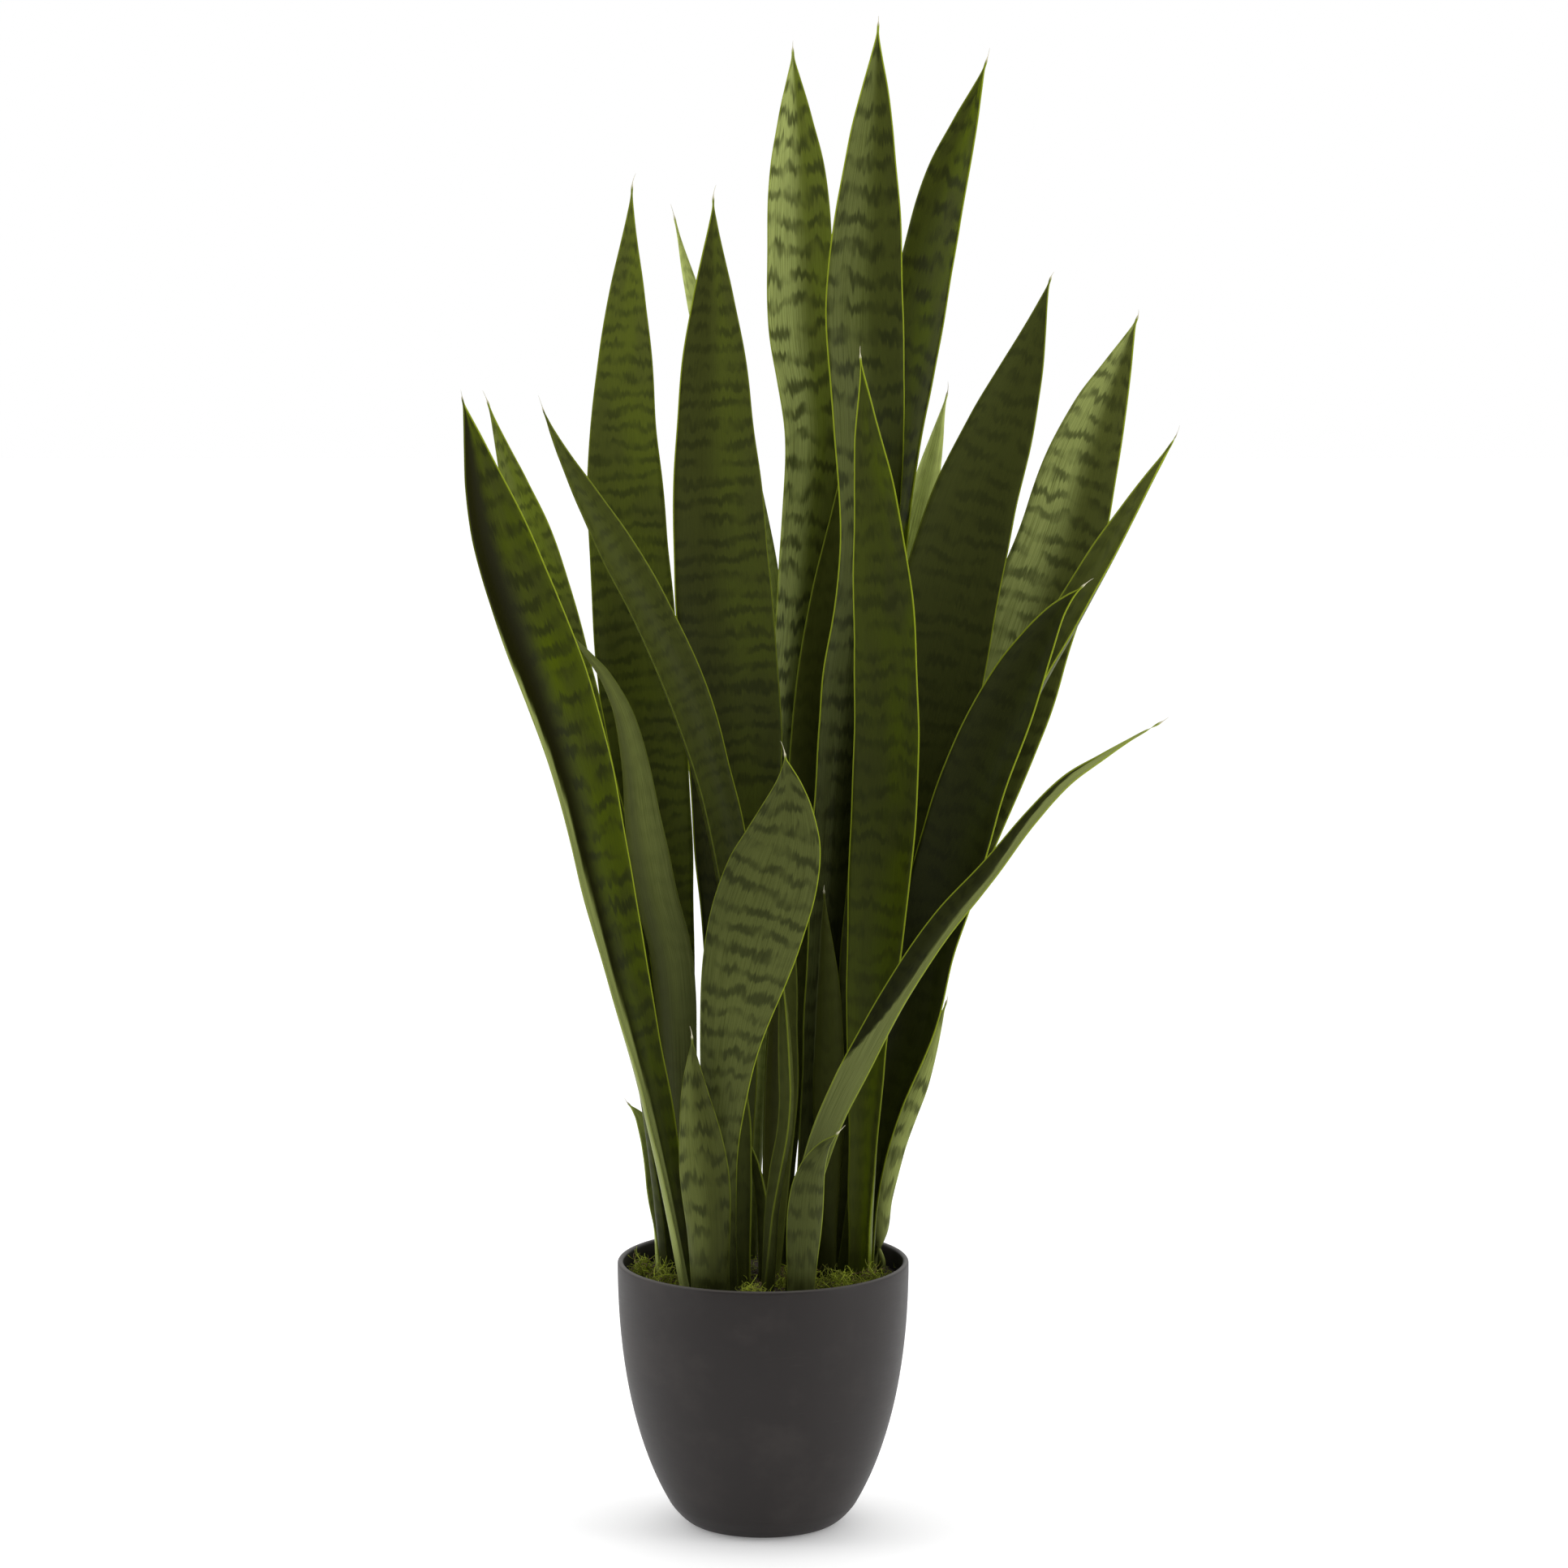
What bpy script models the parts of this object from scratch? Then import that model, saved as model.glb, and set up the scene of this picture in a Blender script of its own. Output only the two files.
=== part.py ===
# Potted snake plant: a round planter filled with potting mix, tufts of moss on the mix,
# and sword-shaped leaves that each stand in their own socket in the mix.
# Metres, +Z up. The origin is the middle of the planter's flat underside.
import math
from dataclasses import dataclass

import bmesh
import bpy
from mathutils import Vector
from mathutils.geometry import interpolate_bezier

# ---- planter ----
POT_HEIGHT = 0.1715
POT_RIM_RADIUS = 0.0935
POT_FOOT_RADIUS = 0.0515    # where the side would meet the ground without its rounded foot
POT_CONTACT_RADIUS = 0.044  # flat underside
POT_FOOT_ROUND = 0.014      # height of the rounded foot
POT_FULLNESS = 2.2          # 2 is the arc of an ellipse; more keeps the side upright further down
POT_WALL = 0.0038
POT_FLOOR = 0.006
TURN_STEPS = 48             # facets around the planter and the mix
SIDE_STEPS = 9              # rows of facets up the side
ROUND_STEPS = 4             # rows of facets around the foot and the lip

# ---- potting mix ----
MIX_BELOW_RIM = 0.0135
MIX_GAP = 0.0004            # between the mix and the planter
SOCKET_GAP = 0.00035        # between a leaf base and its socket
SHARPEST_CORNER = 0.12      # keeps a socket's corner at a leaf's thin margin from reaching far out

MIX_TOP = POT_HEIGHT - MIX_BELOW_RIM

# ---- moss ----
MOSS_GAP = 0.0003           # between a tuft and the mix under it
MOSS_SIDES = 12
# rings of a tuft from its foot up: share of its radius, share of its height
MOSS_LOFT = ((1.0, 0.0), (0.95, 0.45), (0.66, 0.85), (0.28, 1.0))
# lobes around a tuft: how many, and how deep as a share of its radius
MOSS_LOBES = ((3, 0.12), (5, 0.07))

# ---- leaves ----
CROWN_MARGIN = 0.0110       # from the outermost leaf middle to the edge of the mix
TALLEST_TIP = 0.799         # height of the tallest tip above the mix
LEAF_BURIAL = 0.030         # depth of a leaf base in the mix
LEAF_COLLAR = 0.006         # height above the mix up to which a leaf base is straight
BASE_THICKNESS = 0.0050
BLADE_THICKNESS = 0.0024
TIP_WIDTH = 0.0014
TIP_HOLLOW = 1.3            # above 1 the outline runs hollow into the tip
TIP_THICKNESS = 0.0010
BLADE_OPENS_AT = 0.45       # share of a blade's length where the channel has opened out
BLADE_THINS_AT = 0.35       # share of a blade's length where it has its blade thickness
ACROSS = (-1.0, -0.5, 0.0, 0.5, 1.0)
# shares of a blade's length from its tip, where it has a ring of vertices
RINGS = (0.0, 0.008, 0.024, 0.052, 0.095, 0.155, 0.23, 0.32, 0.42, 0.53, 0.64, 0.76, 0.88, 1.0)

# ---- colours and shading ----
CHARCOAL = (0.036, 0.033, 0.030)
EARTH = (0.045, 0.030, 0.018)
MOSS_GREEN = (0.190, 0.200, 0.030)
LEAF_GREENS = ((0.035, 0.062, 0.018), (0.060, 0.095, 0.030), (0.105, 0.150, 0.065))
POT_ROUGHNESS = 0.55
LEAF_ROUGHNESS = 0.38
EARTH_ROUGHNESS = 0.95
SHARP_EDGE = math.radians(60)

MM = 0.001
UP = Vector((0.0, 0.0, 1.0))


@dataclass
class Leaf:
    """One leaf. Its spine runs from the surface of the mix to the tip."""
    spine: tuple               # middle line: x, y, height above the mix, in millimetres
    width: float               # blade width measured around its channel, in millimetres
    turn: tuple                # where the inner face looks, in even steps up the leaf; 0 is -Y, 90 is +X
    base: float = 0.46         # width at the mix as a share of the blade's
    channel: tuple = (1.25, 0.5)  # half arc of the cross-section at foot and blade, in radians
    taper: float = 88.0        # how far below the tip the blade has most of its width, in millimetres
    widest: float = 0.55       # share of the blade's length where it has its full width
    slender: float = 1.0       # above 1 the lower part stays narrow for longer


LEAVES = {
    "leaf_left_outer": Leaf(
        ((-48, -35, 0), (-69, -46, 114), (-98, -54, 239), (-126, -60, 362),
         (-147, -61, 425), (-166, -60, 485), (-185, -58, 568)),
        60, (55, 45, 25), base=0.38, channel=(1.3, 0.95), taper=70, widest=0.7),
    "leaf_left_rear": Leaf(
        ((-62, 0, 0), (-75, 2, 120), (-95, 4, 240), (-116, 9, 333), (-142, 14, 457), (-174, 18, 562)),
        44, (70, 35, 20), channel=(1.2, 0.6)),
    "leaf_left_inner": Leaf(
        ((-48, -17, 0), (-55, -20, 109), (-60, -22, 205), (-72, -24, 262),
         (-79, -26, 310), (-84, -27, 350), (-97, -28, 388), (-124, -30, 424)),
        40, (140, 150, 150), channel=(1.2, 0.7), taper=110),
    "leaf_left_diagonal": Leaf(
        ((-18, 3, 0), (-16, -12, 150), (-25, -20, 265), (-47, -25, 360),
         (-74, -31, 430), (-100, -35, 482), (-126, -40, 535), (-136, -42, 560)),
        47, (70, 60, 40), channel=(1.2, 0.9)),
    "leaf_tall_left": Leaf(
        ((-51, 22, 0), (-60, 28, 130), (-75, 36, 325), (-84, 40, 430),
         (-89, 43, 510), (-88, 45, 590), (-83, 46, 697)),
        58, (40, 15, 0), channel=(1.2, 0.45), taper=115),
    "leaf_rear_left": Leaf(
        ((-10, 60, 0), (4, 78, 350), (-9, 82, 480), (-30, 84, 574), (-48, 85, 638), (-57, 85, 677)),
        28, (170, 165, 160), channel=(1.2, 0.5)),
    "leaf_centre_left": Leaf(
        ((-23, 32, 0), (-21, 22, 200), (-18, 16, 300), (-23, 12, 406),
         (-29, 10, 500), (-31, 11, 610), (-31, 12, 690)),
        66, (25, 10, 0), base=0.36, channel=(1.2, 0.4), taper=105, slender=1.3),
    "leaf_tall_centre": Leaf(
        ((4, 46, 0), (12, 60, 297), (21, 66, 435), (30, 70, 527), (23, 72, 610), (21, 73, 700), (19, 73, 784)),
        53, (80, 50, 10), channel=(1.2, 0.5), taper=66),
    "leaf_centre_dark": Leaf(
        ((9, 30, 0), (22.5, 45, 246), (31, 54, 360), (40, 56, 440), (47, 57, 490), (51, 57, 521)),
        38, (60, 35, 20), channel=(1.2, 0.6)),
    "leaf_tallest": Leaf(
        ((24, 30, 0), (45, 36, 245), (56, 40, 383), (65, 42, 507), (63, 43, 590), (66, 44, 672), (73, 45, 799)),
        56, (20, 20, 28, 46, 5, 0), channel=(1.2, 0.5)),
    "leaf_tall_right": Leaf(
        ((40, 54, 0), (60, 64, 320), (78, 70, 453), (91, 74, 557),
         (104, 77, 620), (116, 79, 690), (143, 80, 777)),
        54, (10, -10, -20, -48, -42, -15), channel=(1.2, 0.5), taper=86),
    "leaf_rear_right": Leaf(
        ((20, 68, 0), (68, 82, 320), (96, 88, 463), (116, 90, 552), (119, 90, 564)),
        28, (190, 170, 160), channel=(1.2, 0.5), taper=60),
    "leaf_front_centre": Leaf(
        ((64, -10, 0), (66, -11, 69), (71, -15, 200), (78, -18, 306),
         (79, -20, 383), (74, -21, 470), (61, -22, 592)),
        46, (-40, -15, -10), channel=(1.2, 0.6)),
    "leaf_right_wide": Leaf(
        ((51, 31, 0), (70, 32, 168), (91, 33, 300), (110, 33, 395), (129, 32, 483),
         (149, 30, 540), (165, 28, 585), (182, 26, 640)),
        70, (-10, 0, 0), base=0.4, channel=(1.2, 0.4), taper=100),
    "leaf_right_light": Leaf(
        ((66, 42, 0), (84, 45, 140), (115, 46, 261), (146, 45, 335), (171, 43, 414),
         (192, 41, 476), (209, 40, 538), (238, 38, 615)),
        62, (-20, -15, -10), base=0.4, channel=(1.2, 0.45), taper=72),
    "leaf_right_folded": Leaf(
        ((55, 16, 0), (72, 16, 100), (101, 13, 195), (137, 9, 302), (170, 5, 377),
         (204, 0, 441), (240, -6, 508), (259, -12, 542)),
        39, (-60, -60, -50), channel=(1.3, 1.1)),
    "leaf_right_low": Leaf(
        ((65, 5, 0), (69, 2, 60), (80, -3, 115), (93, -8, 150), (108, -16, 232), (124, -23, 284),
         (137, -26, 330), (159, -26, 387), (184, -24, 433), (201, -22, 449)),
        50, (-25, -30, -25, -5), base=0.36, channel=(1.2, 0.7), taper=60),
    "leaf_right_small": Leaf(
        ((74, 15, 0), (76, 9, 50), (84, 3, 93), (98, -1, 130), (117, -6, 182)),
        23, (165, 175, 170), channel=(1.2, 0.8), taper=40),
    "leaf_arching_right": Leaf(
        ((23, -48, 0), (32, -52, 78), (62, -58, 149), (106, -64, 228), (144, -68, 276),
         (181, -72, 324), (221, -76, 354), (246, -78, 369)),
        33, (-30, -50, -50), base=0.62, channel=(1.1, 0.9), taper=170),
    "leaf_front_broad": Leaf(
        ((-25, -44, 0), (-27, -52, 104), (-18, -59, 183), (-3, -66, 246),
         (12, -72, 293), (16, -76, 329), (14, -78, 349)),
        72, (170, 170, 165), base=0.28, channel=(1.1, 0.35), taper=50, widest=0.8, slender=1.5),
    "leaf_front_short": Leaf(
        ((-33, -66, 0), (-35, -68, 55), (-40, -70, 107), (-43, -71, 138), (-44, -72, 171)),
        36, (175, 175, 175), base=0.8, channel=(1.0, 0.6), taper=45),
    "leaf_left_hooked": Leaf(
        ((-65, 26, 0), (-67, 24, 45), (-73, 22, 83), (-80, 21, 102), (-87, 20, 111)),
        31, (50, 45, 40), base=0.75, channel=(1.0, 0.6), taper=30),
    "leaf_front_right": Leaf(
        ((24, -67, 0), (26, -70, 45), (30, -72, 82), (38, -74, 101), (47, -76, 111)),
        25, (185, 190, 200), base=0.8, channel=(1.0, 0.5), taper=25),
    "leaf_front_narrow": Leaf(
        ((4, -50, 0), (9, -48, 63), (17, -45, 114), (16, -42, 161), (11, -40, 212)),
        19, (-80, -60, -50), base=0.9, channel=(1.2, 1.2), taper=40),
    "leaf_bud_front": Leaf(
        ((-14, -22, 0), (-13, -24, 77), (-11, -26, 109), (-10, -27, 129)),
        14, (20, 10, 0), base=0.9, channel=(1.0, 0.8), taper=25),
    "leaf_bud_centre": Leaf(
        ((3, -8, 0), (1, -8, 49), (-4, -8, 76), (-11, -8, 96)),
        15, (-60, -50, -40), base=0.9, channel=(1.0, 0.8), taper=25),
    "leaf_dark_centre": Leaf(
        ((2, 11, 0), (8, 11, 84), (12, 11, 170), (14, 13, 260)),
        27, (30, 20, 10), base=0.7, channel=(1.1, 0.7), taper=60),
    "leaf_dark_right": Leaf(
        ((41, 1, 0), (43, 4, 84), (42, 9, 180), (39, 14, 250)),
        24, (200, 190, 180), base=0.7, channel=(1.1, 0.6), taper=60),
}

# x, y, radius, stretch along x and height of each tuft, in millimetres
MOSS = {
    "moss_front": (-6, -74, 9.0, 1.1, 8.0),
    "moss_left_front": (-64, -30, 9.0, 0.9, 9.0),
    "moss_left": (-78, -5, 8.0, 0.8, 9.0),
    "moss_right_front": (50, -40, 11.0, 1.2, 9.0),
    "moss_right": (70, -30, 8.0, 0.9, 8.0),
    "moss_centre": (24, -20, 10.0, 1.3, 8.0),
    "moss_back": (-34, 62, 9.0, 1.2, 8.0),
    "moss_left_back": (-58, 46, 7.5, 1.1, 8.0),
}


def clear_scene():
    for thing in list(bpy.data.objects):
        bpy.data.objects.remove(thing, do_unlink=True)


def make_material(name, colour, roughness):
    material = bpy.data.materials.new(name)
    material.use_nodes = True
    shader = material.node_tree.nodes["Principled BSDF"]
    shader.inputs["Base Color"].default_value = (*colour, 1.0)
    shader.inputs["Roughness"].default_value = roughness
    shader.inputs["Metallic"].default_value = 0.0
    material.diffuse_color = (*colour, 1.0)
    return material


def finish_object(name, shape, material):
    bmesh.ops.recalc_face_normals(shape, faces=shape.faces)
    mesh = bpy.data.meshes.new(name)
    shape.to_mesh(mesh)
    shape.free()
    mesh.shade_smooth()
    mesh.set_sharp_from_angle(angle=SHARP_EDGE)
    if material:
        mesh.materials.append(material)
    made = bpy.data.objects.new(name, mesh)
    bpy.context.collection.objects.link(made)
    return made


# ---- turned pieces ----

def side_radius(height):
    """Outer radius of the planter: nearly a quarter of an ellipse, upright at the rim."""
    drop = (POT_HEIGHT - height) / POT_HEIGHT
    narrowed = 1 - (POT_FOOT_RADIUS / POT_RIM_RADIUS) ** 2
    return POT_RIM_RADIUS * math.sqrt(1 - narrowed * drop ** POT_FULLNESS)


def foot_curve(contact, corner, start_height, base_height, inset):
    """The rounded foot, from the flat underside up to the side."""
    start = Vector((contact, base_height, 0))
    bend = Vector((corner, base_height, 0))
    end = Vector((side_radius(start_height) - inset, start_height, 0))
    points = interpolate_bezier(start, start.lerp(bend, 0.6), end.lerp(bend, 0.6), end, ROUND_STEPS + 1)
    return [(p.x, p.y) for p in points]


def cavity_profile(gap):
    """The inside of the planter up to the mix's surface, drawn in by `gap`, from the floor's middle."""
    inset = POT_WALL + gap
    floor = POT_FLOOR + gap
    start = POT_FOOT_ROUND + POT_FLOOR
    points = [(0.0, floor)]
    points += foot_curve(POT_CONTACT_RADIUS - inset, POT_FOOT_RADIUS - gap, start, floor, inset)
    for step in range(1, SIDE_STEPS + 1):
        height = start + (MIX_TOP - start) * step / SIDE_STEPS
        points.append((side_radius(height) - inset, height))
    return points


def turned(name, profile, material):
    """Spins a profile of (radius, height) points around Z. Its ends lie on the axis."""
    shape = bmesh.new()
    corners = [shape.verts.new((radius, 0.0, height)) for radius, height in profile]
    edges = [shape.edges.new(pair) for pair in zip(corners, corners[1:])]
    bmesh.ops.spin(shape, geom=corners + edges, cent=(0, 0, 0), axis=(0, 0, 1), dvec=(0, 0, 0),
                   angle=math.tau, steps=TURN_STEPS, use_merge=True, use_duplicate=False)
    bmesh.ops.remove_doubles(shape, verts=shape.verts, dist=0.00001)
    return finish_object(name, shape, material)


def build_pot():
    lip = POT_WALL / 2
    lip_height = POT_HEIGHT - lip
    outside = [(0.0, 0.0)]
    outside += foot_curve(POT_CONTACT_RADIUS, POT_FOOT_RADIUS, POT_FOOT_ROUND, 0.0, 0.0)
    for step in range(1, SIDE_STEPS + 1):
        height = POT_FOOT_ROUND + (lip_height - POT_FOOT_ROUND) * step / SIDE_STEPS
        outside.append((side_radius(height), height))
    lip_middle = side_radius(lip_height) - lip
    over = []
    for step in range(1, ROUND_STEPS):
        angle = math.pi * step / ROUND_STEPS
        over.append((lip_middle + lip * math.cos(angle), lip_height + lip * math.sin(angle)))
    inside = cavity_profile(0.0) + [(lip_middle - lip, lip_height)]
    return turned("pot", outside + over + inside[::-1], make_material("pot", CHARCOAL, POT_ROUGHNESS))


# ---- leaves ----

def smooth_line(points, per_span=16):
    """A smooth curve through the points, as many short straight runs."""
    ends = [points[0] * 2 - points[1]] + points + [points[-1] * 2 - points[-2]]
    line = [points[0]]
    for before, start, end, after in zip(ends, ends[1:], ends[2:], ends[3:]):
        span = (end - start).length
        leave = (end - before).normalized() * span / 3
        arrive = (after - start).normalized() * span / 3
        line += interpolate_bezier(start, start + leave, end - arrive, end, per_span + 1)[1:]
    return line


def place_along(line, distances):
    """Points and directions on the line at the given distances from its start, which rise."""
    places = []
    run = 0.0
    index = 0
    for distance in distances:
        while index < len(line) - 2 and run + (line[index + 1] - line[index]).length < distance:
            run += (line[index + 1] - line[index]).length
            index += 1
        step = line[index + 1] - line[index]
        point = line[index] + step.normalized() * (distance - run)
        places.append((point, step.normalized()))
    return places


def ease(share):
    share = min(max(share, 0.0), 1.0)
    return share * share * (3 - 2 * share)


def through(values, share):
    """Reads a value at a share of the length from values that stand at even steps along it."""
    place = share * (len(values) - 1)
    before = min(int(place), len(values) - 2)
    return values[before] + (values[before + 1] - values[before]) * ease(place - before)


def leaf_rings(leaf, spread, rise, grow=0.0):
    """Rings of eight points: the buried foot, the collar above the mix, then the blade to its tip."""
    spine = [Vector((x * spread, y * spread, z * rise)) * MM + UP * MIX_TOP for x, y, z in leaf.spine]
    rooted = (spine[1] - spine[0]).normalized()
    foot = spine[0] - rooted * LEAF_BURIAL
    collar = spine[0] + rooted * LEAF_COLLAR
    line = smooth_line([collar] + spine[1:])
    length = sum((b - a).length for a, b in zip(line, line[1:]))
    shares = [1 - ring for ring in reversed(RINGS)]
    places = place_along(line, [share * length for share in shares])
    stations = [(0.0, foot - rooted * grow, rooted), (0.0, collar, rooted)]
    stations += [(share, point, along) for share, (point, along) in zip(shares[1:], places[1:])]
    rings = []
    for share, point, along in stations:
        filled = leaf.base + (1 - leaf.base) * ease((share / leaf.widest) ** leaf.slender)
        pointed = 1 - math.exp(-((1 - share) * length / (leaf.taper * MM)) ** TIP_HOLLOW)
        half = max(leaf.width * MM * spread * filled * pointed, TIP_WIDTH) / 2
        arc = leaf.channel[0] + (leaf.channel[1] - leaf.channel[0]) * ease(share / BLADE_OPENS_AT)
        thick = BASE_THICKNESS + (BLADE_THICKNESS - BASE_THICKNESS) * ease(share / BLADE_THINS_AT)
        thick = TIP_THICKNESS + (thick - TIP_THICKNESS) * pointed
        turn = math.radians(through(leaf.turn, share))
        face = Vector((math.sin(turn), -math.cos(turn), 0.0))
        face = (face - along * face.dot(along)).normalized()
        rings.append(leaf_ring(point, along.cross(face), face, half, arc, thick / 2, grow))
    return rings


def leaf_ring(point, side, face, half, arc, thick, grow):
    """Eight points around one cross-section: a margin, the outer face, the other margin, the inner face."""
    outer = []
    inner = []
    for across in ACROSS:
        angle = arc * across
        normal = face * math.cos(angle) - side * math.sin(angle)
        middle = point + (side * math.sin(angle) + face * (1 - math.cos(angle))) * half / arc
        depth = thick * (1 - across ** 2)
        outer.append(middle - normal * depth)
        inner.append(middle + normal * depth)
    ring = outer + inner[-2:0:-1]
    return grown(ring, face.cross(side), grow) if grow else ring


def grown(ring, along, grow):
    """Moves each side of a flat ring out by `grow`."""
    ways = [(end - start).normalized() for start, end in zip(ring, ring[1:] + ring[:1])]
    normals = [along.cross(way).normalized() for way in ways]
    moved = []
    for corner, before, after in zip(ring, normals[-1:] + normals[:-1], normals):
        spread = max(1 + before.dot(after), SHARPEST_CORNER)
        moved.append(corner + (before + after) * grow / spread)
    return moved


def add_rings(shape, rings):
    """Lofts a closed solid: one ring of vertices is extruded to each next ring."""
    corners = [shape.verts.new(point) for point in rings[0]]
    edges = [shape.edges.new((a, b)) for a, b in zip(corners, corners[1:] + corners[:1])]
    shape.faces.new(corners)
    for ring in rings[1:]:
        result = bmesh.ops.extrude_edge_only(shape, edges=edges)["geom"]
        fresh = [item for item in result if isinstance(item, bmesh.types.BMVert)]
        edges = [item for item in result if isinstance(item, bmesh.types.BMEdge)
                 and all(vert in fresh for vert in item.verts)]
        moved = {}
        for old, target in zip(corners, ring):
            new = next(edge.other_vert(old) for edge in old.link_edges if edge.other_vert(old) in fresh)
            new.co = target
            moved[old] = new
        corners = [moved[old] for old in corners]
    shape.faces.new(corners)
    bmesh.ops.triangulate(shape, faces=shape.faces, quad_method="FIXED", ngon_method="BEAUTY")


def build_leaves(spread, rise):
    for index, (name, leaf) in enumerate(LEAVES.items()):
        shape = bmesh.new()
        add_rings(shape, leaf_rings(leaf, spread, rise))
        green = make_material(name, LEAF_GREENS[index % len(LEAF_GREENS)], LEAF_ROUGHNESS)
        finish_object(name, shape, green)


# ---- potting mix ----

def build_mix(spread, rise):
    earth = make_material("soil", EARTH, EARTH_ROUGHNESS)
    mix = turned("soil", cavity_profile(MIX_GAP) + [(0.0, MIX_TOP)], earth)
    sockets = bmesh.new()
    for leaf in LEAVES.values():
        foot_and_collar = leaf_rings(leaf, spread, rise, SOCKET_GAP)[:2]
        add_rings(sockets, foot_and_collar)
    cutter = finish_object("socket_cutter", sockets, None)
    cutter.hide_render = True
    cutter.display_type = "WIRE"
    cut = mix.modifiers.new("sockets", "BOOLEAN")
    cut.operation = "DIFFERENCE"
    cut.solver = "EXACT"
    cut.object = cutter
    return mix


# ---- moss ----

def build_moss(spread):
    floor = MIX_TOP + MOSS_GAP
    for order, (name, (x, y, radius, stretch, height)) in enumerate(MOSS.items()):
        shape = bmesh.new()
        rings = []
        for share, lift in MOSS_LOFT:
            ring = []
            for side in range(MOSS_SIDES):
                angle = math.tau * side / MOSS_SIDES
                wander = 1 + sum(depth * math.sin(waves * angle + order) for waves, depth in MOSS_LOBES)
                reach = radius * MM * spread * share * wander
                ring.append(Vector((x * MM * spread + reach * stretch * math.cos(angle),
                                    y * MM * spread + reach * math.sin(angle),
                                    floor + height * MM * lift)))
            rings.append(ring)
        add_rings(shape, rings)
        finish_object(name, shape, make_material(name, MOSS_GREEN, EARTH_ROUGHNESS))


def main():
    clear_scene()
    mix_radius = side_radius(MIX_TOP) - POT_WALL - MIX_GAP
    widest_base = max(math.hypot(leaf.spine[0][0], leaf.spine[0][1]) for leaf in LEAVES.values()) * MM
    highest_tip = max(leaf.spine[-1][2] for leaf in LEAVES.values()) * MM
    # the whole crown opens out with the planter and rises with its tallest leaf
    spread = (mix_radius - CROWN_MARGIN) / widest_base
    rise = TALLEST_TIP / highest_tip
    build_pot()
    build_mix(spread, rise)
    build_moss(spread)
    build_leaves(spread, rise)


main()
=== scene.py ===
# Potted snake plant: leaf blades, moss, potting mix and planter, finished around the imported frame.
import math
import random
from bisect import bisect_right
from itertools import combinations

import bmesh
import bpy
from mathutils import Matrix, Vector, noise


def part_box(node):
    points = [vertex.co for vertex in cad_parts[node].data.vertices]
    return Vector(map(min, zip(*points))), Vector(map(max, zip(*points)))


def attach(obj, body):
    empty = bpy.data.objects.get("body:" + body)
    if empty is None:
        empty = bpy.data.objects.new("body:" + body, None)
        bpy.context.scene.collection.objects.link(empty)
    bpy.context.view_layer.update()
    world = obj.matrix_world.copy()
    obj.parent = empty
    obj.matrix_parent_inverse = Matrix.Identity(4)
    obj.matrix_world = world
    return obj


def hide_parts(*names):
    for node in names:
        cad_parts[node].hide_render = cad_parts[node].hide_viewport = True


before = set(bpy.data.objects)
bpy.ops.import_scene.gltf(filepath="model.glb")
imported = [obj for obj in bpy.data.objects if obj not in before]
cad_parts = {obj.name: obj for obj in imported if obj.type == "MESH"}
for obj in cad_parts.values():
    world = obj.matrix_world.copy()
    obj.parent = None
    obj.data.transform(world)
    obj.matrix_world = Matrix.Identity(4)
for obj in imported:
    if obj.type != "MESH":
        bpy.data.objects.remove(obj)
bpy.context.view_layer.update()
mm = 0.001
up = Vector((0, 0, 1))
print("frame loaded:", len(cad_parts), "nodes")


# Wraps a shader socket so that ordinary arithmetic adds Math nodes.
class Wire:
    def __init__(self, nodes, socket):
        self.nodes = nodes
        self.socket = socket

    def maths(self, operation, *values):
        inputs = dict(enumerate(values))
        return self.nodes.node("Math", {"operation": operation}, inputs)

    def __add__(self, other):
        return self.maths("ADD", self, other)

    def __radd__(self, other):
        return self.maths("ADD", other, self)

    def __sub__(self, other):
        return self.maths("SUBTRACT", self, other)

    def __rsub__(self, other):
        return self.maths("SUBTRACT", other, self)

    def __mul__(self, other):
        return self.maths("MULTIPLY", self, other)

    def __rmul__(self, other):
        return self.maths("MULTIPLY", other, self)

    def __truediv__(self, other):
        return self.maths("DIVIDE", self, other)

    def __rtruediv__(self, other):
        return self.maths("DIVIDE", other, self)

    def sine(self):
        return self.maths("SINE", self)

    # 0 below low, 1 above high, with a soft change between them
    def rise(self, low, high):
        settings = {"interpolation_type": "SMOOTHSTEP"}
        inputs = {"Value": self, "From Min": low, "From Max": high}
        return self.nodes.node("MapRange", settings, inputs)


# Wraps a node tree, with one method for every node in it.
class Nodes:
    def __init__(self, tree):
        self.tree = tree

    def feed(self, socket, value):
        if isinstance(value, Wire):
            self.tree.links.new(value.socket, socket)
        else:
            socket.default_value = value

    # settings come first, because some of them decide which sockets there are
    def node(self, kind, settings=None, inputs=None, output=0):
        made = self.tree.nodes.new("ShaderNode" + kind)
        for key, value in (settings or {}).items():
            setattr(made, key, value)
        for key, value in (inputs or {}).items():
            self.feed(made.inputs[key], value)
        return Wire(self, made.outputs[output])


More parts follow.
